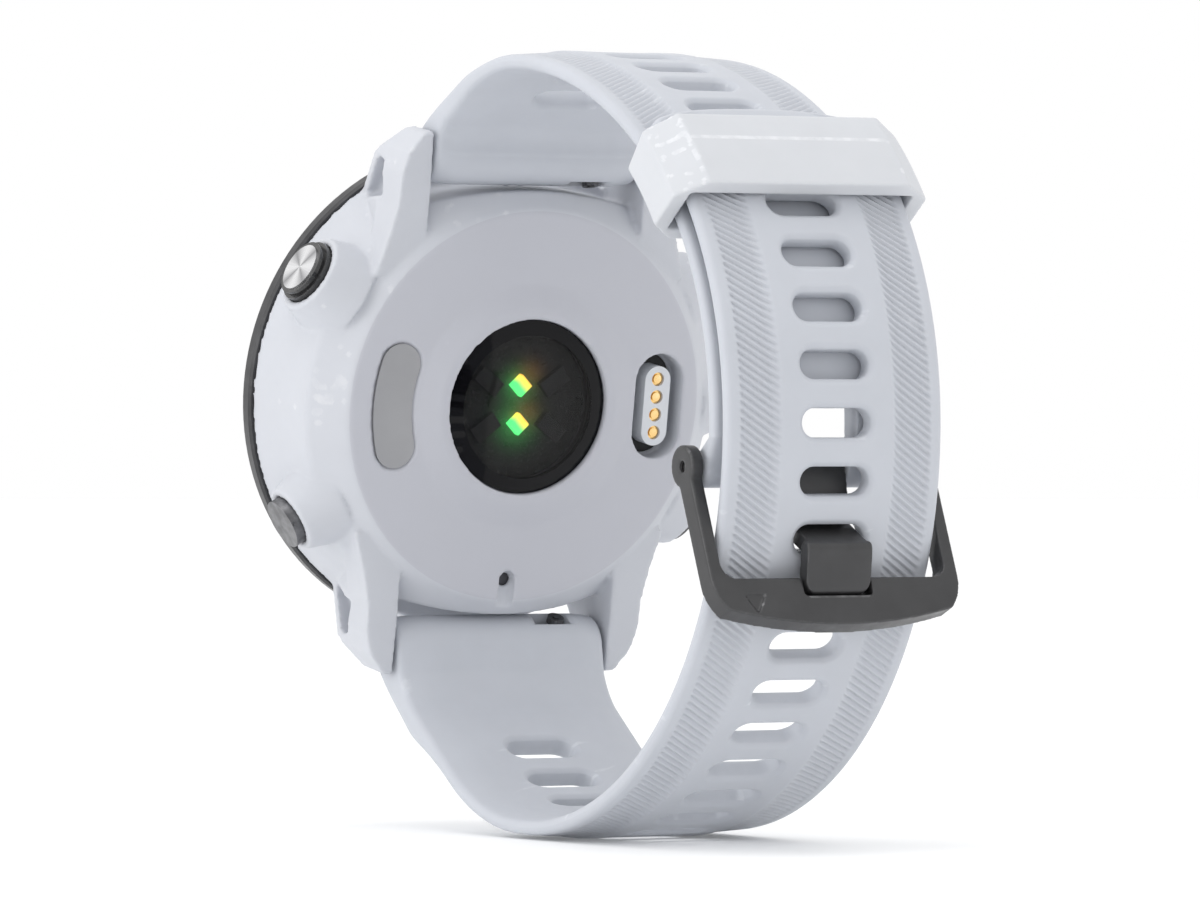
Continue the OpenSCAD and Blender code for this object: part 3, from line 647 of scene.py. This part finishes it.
class Strap:
    """A strap's mesh: a plain middle with slots, grooved flanks, round edges and a plain underside."""

    def __init__(self, path, hatch_from, hatch_to, tip=None):
        self.path, self.hatch, self.tip = path, (hatch_from, hatch_to), tip
        self.points, self.faces, self.count = [], [], 0

    def s_at(self, s, x):
        """Row position s moved along the grooves' lean, and drawn in at a rounded tip."""
        s = np.asarray(s, float)
        fade = ease((s - 2.0) / 6) * ease((self.path.length - 14 - s) / 6)
        side = np.clip(np.abs(x) - CORE_X, 0, HATCH_END - CORE_X) * np.sign(x)
        out = s - LEAN * side * fade
        if self.tip:
            reach = self.tip * (1 - np.sqrt(np.clip(1 - (np.abs(x) / TIP_HALF_W) ** TIP_POWER, 0, 1)))
            out = out + reach * (1 - ease(s / (self.tip + 6)))
        return out

    def place(self, s, x, depth_from_top=None, depth_from_under=None):
        """3-D points for rows s and offsets x, at a depth below the outer or above the inner surface."""
        s, x = np.broadcast_arrays(np.asarray(s, float), np.asarray(x, float))
        real = self.s_at(s, x)
        inner, outer = self.path.at(real)
        thick = np.linalg.norm(outer - inner, axis=-1)
        unit = (outer - inner) / np.maximum(thick, 1e-6)[..., None]
        scale = np.clip(thick / STRAP_T, 0, 1)
        end = np.minimum(s, self.path.length + 1) / END_ROUND if self.tip else np.ones_like(s) * 9
        end_drop = np.where(end < 1, (1 - np.sqrt(np.clip(1 - (1 - end) ** 2, 0, 1))) * END_DROP, 0)
        base = (edge_drop(x, STRAP_T) + end_drop) * scale
        if depth_from_top is not None:
            slope = ease((np.abs(x) - CORE_X) / STEP_W) * STEP_DROP
            slope = slope + np.clip(np.abs(x) - CORE_X, 0, SLOPE_W) * SLOPE
            slope = slope * ease((self.path.length - 12 - s) / 5) * ease(s / 3)
            drop = base + (slope + depth_from_top) * scale
            flat = outer - unit * np.minimum(drop, thick * 0.5)[..., None]
        else:
            rise = base + (depth_from_under + CURL_RISE * ease((np.abs(x) - CURL_FROM) / CURL_W)) * scale
            flat = inner + unit * np.minimum(rise, thick * 0.5)[..., None]
        return np.stack([x, flat[..., 0] + ROW_Y, flat[..., 1] + ROW_Z], -1) * MM

    def sheet(self, grid, closed=False):
        """Adds a grid of points as faces."""
        rows, columns = grid.shape[:2]
        start = self.count
        self.points.append(grid.reshape(-1, 3))
        self.count += rows * columns
        r, c = np.meshgrid(np.arange(rows - 1), np.arange(columns if closed else columns - 1), indexing="ij")
        d = (c + 1) % columns
        quads = np.stack([r * columns + c, r * columns + d, (r + 1) * columns + d, (r + 1) * columns + c], -1)
        self.faces.append(quads.reshape(-1, 4) + start)

    def grooves(self, rows, x):
        """Depth of the slanted grooves for row numbers and offsets."""
        tooth = TOOTH[np.mod(rows, 5)]
        s = rows * ROW
        width = ease((np.abs(x) - 5.75) / 0.5) * ease((HATCH_END - np.abs(x)) / 0.25)
        along = ease((s - self.hatch[0]) / 2) * ease((self.hatch[1] - s) / 2)
        return HATCH_DEPTH * tooth * width * along

    def cell(self, s0, s1, columns):
        """The middle strip between rows s0 and s1 with a countersunk slot in it."""
        rows = int(round((s1 - s0) / ROW))
        half = (s1 - s0) / 2
        a = np.linspace(-half, half, rows + 1)
        b = np.linspace(CORE_X, -CORE_X, columns + 1)
        side = np.stack([np.full(rows + 1, CORE_X), a], 1)[:-1]
        end = np.stack([b, np.full(columns + 1, half)], 1)[:-1]
        rim = np.concatenate([side, end, -side, -end])

        def slot_edge(grow):
            r = HOLE_HALF_H + grow
            straight = HOLE_HALF_W - HOLE_HALF_H
            arc_part = (math.pi / 2 - CORNER_TURN) * r
            run = arc_part + straight
            out = []
            for x, y in rim:
                if abs(abs(x) - CORE_X) < 1e-9 and abs(y) <= half:
                    turn = CORNER_TURN * abs(y) / half
                    px, py = straight + r * math.cos(turn), r * math.sin(turn)
                else:
                    far = (CORE_X - abs(x)) / CORE_X * run
                    if far < arc_part:
                        turn = CORNER_TURN + far / r
                        px, py = straight + r * math.cos(turn), r * math.sin(turn)
                    else:
                        px, py = straight - (far - arc_part), r
                out.append((math.copysign(px, x), math.copysign(py, y)))
            return np.array(out)

        centre = (s0 + s1) / 2
        rings = [(slot_edge(grow), sink) for grow, sink in SINK]
        last = rings[-1][0]
        rings += [(last + (rim - last) * f, 0.0) for f in (0.4, 1.0)]
        top = np.stack([self.place(centre + p[:, 1], p[:, 0], depth_from_top=np.full(len(p), d))
                        for p, d in rings])
        low = np.stack([self.place(centre + p[:, 1], p[:, 0], depth_from_under=np.full(len(p), d))
                        for p, d in rings])
        self.sheet(top, closed=True)
        self.sheet(low, closed=True)
        self.sheet(np.stack([top[0], low[0]]), closed=True)

    def build(self, name, holes, pitch_rows):
        total = int(round(self.path.length / ROW))
        rows = np.arange(total + 1)
        for sign in (1, -1):
            top_x, under_x = sign * np.array(SIDE_X), sign * np.array(UNDER_X)
            grid_r, grid_x = np.meshgrid(rows, top_x, indexing="ij")
            top = self.place(grid_r * ROW, grid_x, depth_from_top=self.grooves(grid_r, grid_x))
            self.sheet(top)
            grid_r, grid_x = np.meshgrid(rows, under_x, indexing="ij")
            under = self.place(grid_r * ROW, grid_x, depth_from_under=np.zeros(grid_x.shape))
            self.sheet(under)
            self.sheet(np.stack([top[:, -1], under[:, 0]], 1))
            for end in (0, -1):
                face = np.stack([top[end], self.place(np.full(len(top_x), rows[end] * ROW), top_x,
                                                      depth_from_under=np.zeros(len(top_x)))])
                self.sheet(face)
        core = np.linspace(CORE_X, -CORE_X, CORE_COLUMNS + 1)
        starts = sorted(int(round(h / ROW)) - pitch_rows // 2 for h in holes)
        taken = [(start, start + pitch_rows) for start in starts]
        edge = 0
        for begin, end in taken + [(total, total)]:
            if begin > edge:
                grid_r, grid_x = np.meshgrid(np.arange(edge, begin + 1), core, indexing="ij")
                flat = np.zeros(grid_x.shape)
                self.sheet(self.place(grid_r * ROW, grid_x, depth_from_top=flat))
                self.sheet(self.place(grid_r * ROW, grid_x, depth_from_under=flat))
            if end > begin:
                self.cell(begin * ROW, end * ROW, CORE_COLUMNS)
            edge = end
        for end in (0, total):
            line = np.full(len(core), end * ROW)
            zero = np.zeros(len(core))
            self.sheet(np.stack([self.place(line, core, depth_from_top=zero),
                                 self.place(line, core, depth_from_under=zero)]))
        made = link_mesh(name, np.vstack(self.points), np.vstack(self.faces).tolist())
        mesh = bmesh.new()
        mesh.from_mesh(made.data)
        bmesh.ops.remove_doubles(mesh, verts=mesh.verts, dist=2e-6)
        bmesh.ops.dissolve_degenerate(mesh, edges=mesh.edges, dist=1e-6)
        bmesh.ops.recalc_face_normals(mesh, faces=mesh.faces)
        mesh.to_mesh(made.data)
        mesh.free()
        made.data.polygons.foreach_set("use_smooth", [True] * len(made.data.polygons))
        return made


def cut(thing, cutters):
    """Takes solids away from a mesh and leaves plain faces."""
    for cutter in cutters:
        tool = thing.modifiers.new("cut", "BOOLEAN")
        tool.operation, tool.solver, tool.object = "DIFFERENCE", "EXACT", cutter
    graph = bpy.context.evaluated_depsgraph_get()
    mesh = bpy.data.meshes.new_from_object(thing.evaluated_get(graph))
    thing.modifiers.clear()
    thing.data = mesh
    for cutter in cutters:
        bpy.data.objects.remove(cutter)


def box_cutter(size, place, lean=0.0):
    mesh = bmesh.new()
    bmesh.ops.create_cube(mesh, size=1)
    bmesh.ops.scale(mesh, vec=[v * MM for v in size], verts=mesh.verts)
    spot = Matrix.Translation(Vector(place) * MM) @ Matrix.Rotation(math.radians(lean), 4, "X")
    return cutter_object(mesh, spot)


def rod_cutter(radius, length, place):
    mesh = bmesh.new()
    bmesh.ops.create_cone(mesh, cap_ends=True, segments=48, radius1=radius * MM, radius2=radius * MM,
                          depth=length * MM)
    return cutter_object(mesh, Matrix.Translation(Vector(place) * MM) @ Matrix.Rotation(math.pi / 2, 4, "Y"))


def cutter_object(mesh, spot):
    data = bpy.data.meshes.new("cutter")
    mesh.to_mesh(data)
    mesh.free()
    data.transform(spot)
    made = bpy.data.objects.new("cutter", data)
    scene.collection.objects.link(made)
    return made


def in_row(point, x=0.0):
    return (x, point[0] + ROW_Y, point[1] + ROW_Z)


BORE_R, BORE_L = 0.92, 30
KNOB_X, KNOB_SLOT = -6.4 + 0.7, (3.8, 1.8, 6)
TONGUE_SLOT, TONGUE_SLOT_TURN = (6.5, 9, 12.4), -9.1


def bar_cutters(bar, lean):
    """The bore for the spring bar and the slot for its release knob."""
    knob = bar + on_circle(lean + 90, 3.0)
    return [rod_cutter(BORE_R, BORE_L, in_row(bar)), box_cutter(KNOB_SLOT, in_row(knob, KNOB_X), lean)]


LOWER_HOLES_FROM, LOWER_HOLES_TO = 4, -16   # hole numbers, with hole 0 at angle 0 and 4 next to the tip
LOWER_GROOVES = (0.2, 26)   # they start this far from one end of the strap and stop this far from the other
UPPER_GROOVES = (7, 18)
CROWN_HOLES, BEND_HOLES = (60.8, 67.3, 73.8, 80.3, 86.8), (102.6, 118)   # as angles
UPPER_PITCH_ROWS = 32

lower = lower_path()
tip_to_zero = math.radians(LOWER_TIP) * (LOWER_R + STRAP_T / 2)
lower_holes = [tip_to_zero - HOLE_PITCH * i for i in range(LOWER_HOLES_FROM, LOWER_HOLES_TO, -1)]
lower_visual = Strap(lower, LOWER_GROOVES[0], lower.length - LOWER_GROOVES[1], tip=3.6).build(
    "lower_strap_visual", lower_holes, PITCH_ROWS)
cut(lower_visual, bar_cutters(LOWER_BAR, -30))

upper = upper_path()
crown_r, bend_r = CROWN_R + STRAP_T / 2, UPPER_BEND_R + STRAP_T / 2
crown_start = CROWN_C + on_circle(UPPER_TURN, crown_r)
crown_zero = upper.s[np.argmin(np.linalg.norm((upper.inner + upper.outer) / 2 - crown_start, axis=1))]
upper_holes = [crown_zero + math.radians(a - UPPER_TURN) * crown_r for a in CROWN_HOLES]
bend_zero = crown_zero + math.radians(CROWN_END - UPPER_TURN) * crown_r
upper_holes += [bend_zero + math.radians(a - CROWN_END) * bend_r for a in BEND_HOLES]
upper_visual = Strap(upper, UPPER_GROOVES[0], upper.length - UPPER_GROOVES[1]).build(
    "upper_strap_visual", upper_holes, UPPER_PITCH_ROWS)
slot_middle = LOOP_C + on_circle(TONGUE_SLOT_TURN, HINGE_R)
cut(upper_visual, bar_cutters(UPPER_BAR, -169) + [
    rod_cutter(BORE_R, BORE_L, in_row(HINGE)),
    box_cutter(TONGUE_SLOT, in_row(slot_middle), TONGUE_SLOT_TURN)])

for strap_piece, node_name in ((lower_visual, "lower_strap"), (upper_visual, "upper_strap")):
    strap_piece.data.polygons.foreach_set("use_smooth", [True] * len(strap_piece.data.polygons))
    paint(strap_piece, "strap")
    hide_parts(node_name)
    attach(strap_piece, node_name)

# --- floor ---
FLOOR_RADIUS, FLOOR_SIDES = 4.0, 64
rim = [(FLOOR_RADIUS * math.cos(t), FLOOR_RADIUS * math.sin(t), 0)
       for t in np.linspace(0, 2 * math.pi, FLOOR_SIDES, endpoint=False)]
floor = link_mesh("floor", rim, [list(range(FLOOR_SIDES))], smooth=False)
floor.data.materials.append(floor_look.material)
